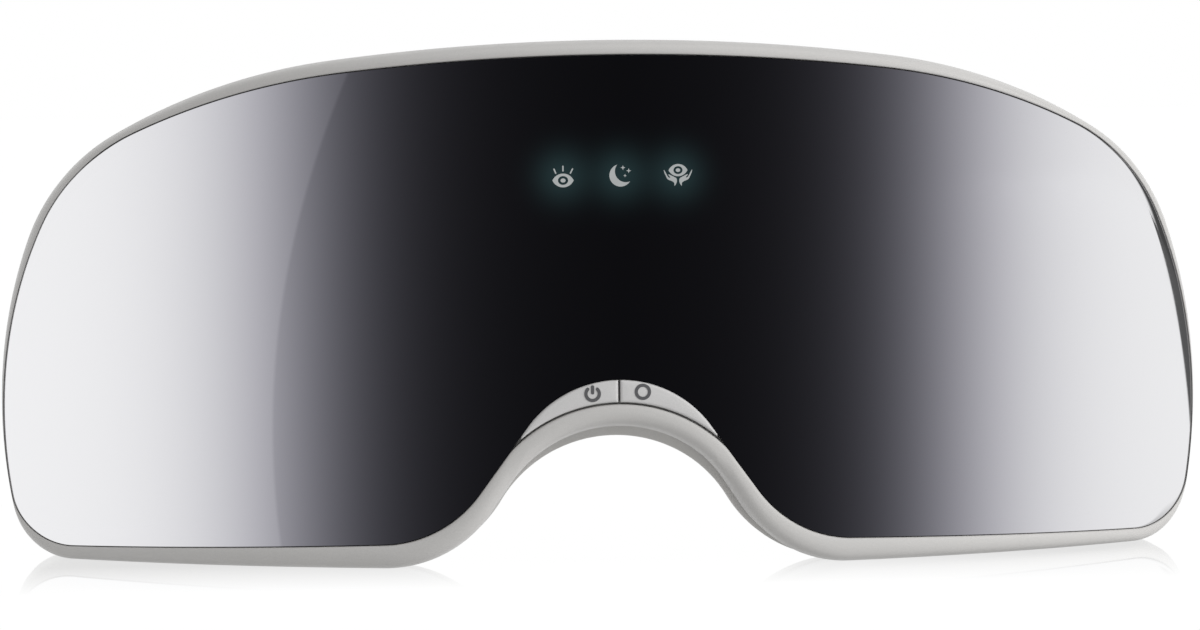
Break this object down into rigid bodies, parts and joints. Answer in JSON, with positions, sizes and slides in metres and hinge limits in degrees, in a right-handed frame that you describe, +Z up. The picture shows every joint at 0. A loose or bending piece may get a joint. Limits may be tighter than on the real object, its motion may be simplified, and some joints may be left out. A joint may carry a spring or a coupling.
{
  "type": "heated eye massager",
  "caption": "Curved mirror-visor eye mask with a two-part shell, crescent buttons over the nose, heated air-bag eye pads, a padded face ring and an elastic head band.",
  "frame": {"origin": "on the table under the middle of the mask's box, head band included", "axes": "+X to the right as the visor is seen, -Y out of the visor, +Z up; the mask stands on its two cheek lobes"},
  "size_m": [0.21, 0.1592, 0.0888],
  "materials": {
    "mirror_visor": "mirror coating, black in the middle and silver at the sides",
    "black_rubber": "matt black",
    "silver_shell": "satin warm silver paint",
    "rear_shell": "satin warm silver paint, a shade darker",
    "silver_button": "satin warm silver paint with grey symbols",
    "black_plastic": "fine moulded texture",
    "bright_steel": "plated",
    "circuit_board": "green solder mask",
    "chips": "moulded",
    "light_film": "translucent white",
    "battery_foil": "dull foil pouch",
    "foam": "closed-cell foam",
    "brass": "turned",
    "clear_silicone": "translucent",
    "heating_film": "amber film",
    "soft_cover": "soft knitted cover",
    "cushion_leather": "soft grained synthetic leather",
    "elastic_webbing": "woven elastic"
  },
  "bodies": {
    "mask": {"visor_lens": "mirror_visor", "lens_gasket": "black_rubber", "front_housing": "silver_shell", "rear_housing": "rear_shell", "inner_frame": "black_plastic", "face_plate": "black_plastic", "button_switches": "bright_steel", "button_board": "circuit_board", "button_bracket": "black_plastic", "icon_film": "light_film", "icon_mask": "black_plastic", "indicator_board": "circuit_board", "indicator_leds": "light_film", "main_board": "circuit_board", "main_components": "chips", "battery": "battery_foil", "battery_pad": "foam", "usb_socket": "bright_steel", "usb_board": "circuit_board", "pump_motor": "bright_steel", "pump_head": "black_plastic", "air_valve": "bright_steel", "air_tubes": "clear_silicone", "airbag_left": "clear_silicone", "airbag_right": "clear_silicone", "heater_left": "heating_film", "heater_right": "heating_film", "eye_liner_left": "soft_cover", "eye_liner_right": "soft_cover", "vibrator_left": "bright_steel", "vibrator_right": "bright_steel", "face_cushion": "cushion_leather", "strap_sleeve_left": "black_plastic", "strap_sleeve_right": "black_plastic", "head_strap": "elastic_webbing", "strap_slider": "black_plastic", "housing_screws": "bright_steel", "frame_screws": "bright_steel", "board_screws": "bright_steel"},
    "power_button": {"power_button": "silver_button", "power_plunger": "black_plastic"},
    "mode_button": {"mode_button": "silver_button", "mode_plunger": "black_plastic"},
    "pump_crank": {"pump_crank": "brass"},
    "valve_plunger": {"valve_plunger": "bright_steel"},
    "vibrator_weight_left": {"vibrator_weight_left": "brass"},
    "vibrator_weight_right": {"vibrator_weight_right": "brass"}
  },
  "joints": [
    {"name": "power_button_press", "type": "slide", "parent": "mask", "child": "power_button", "axis": [0, 1, 0], "range_m": [0, 0.0005], "stiffness_N_per_m": 2000, "springref_m": -0.0003},
    {"name": "mode_button_press", "type": "slide", "parent": "mask", "child": "mode_button", "axis": [0, 1, 0], "range_m": [0, 0.0005], "stiffness_N_per_m": 2000, "springref_m": -0.0003},
    {"name": "valve_plunger_lift", "type": "slide", "parent": "mask", "child": "valve_plunger", "axis": [0, 0, 1], "range_m": [0, 0.0008], "stiffness_N_per_m": 400, "springref_m": -0.0005},
    {"name": "pump_crank_spin", "type": "hinge", "parent": "mask", "child": "pump_crank", "pos_m": [0.058, -0.05016, 0.042], "axis": [0, 0, 1], "continuous": true},
    {"name": "vibrator_weight_left_spin", "type": "hinge", "parent": "mask", "child": "vibrator_weight_left", "pos_m": [-0.042, -0.06142, 0.022], "axis": [0, 0, 1], "continuous": true},
    {"name": "vibrator_weight_right_spin", "type": "hinge", "parent": "mask", "child": "vibrator_weight_right", "pos_m": [0.042, -0.06142, 0.022], "axis": [0, 0, 1], "continuous": true}
  ]
}
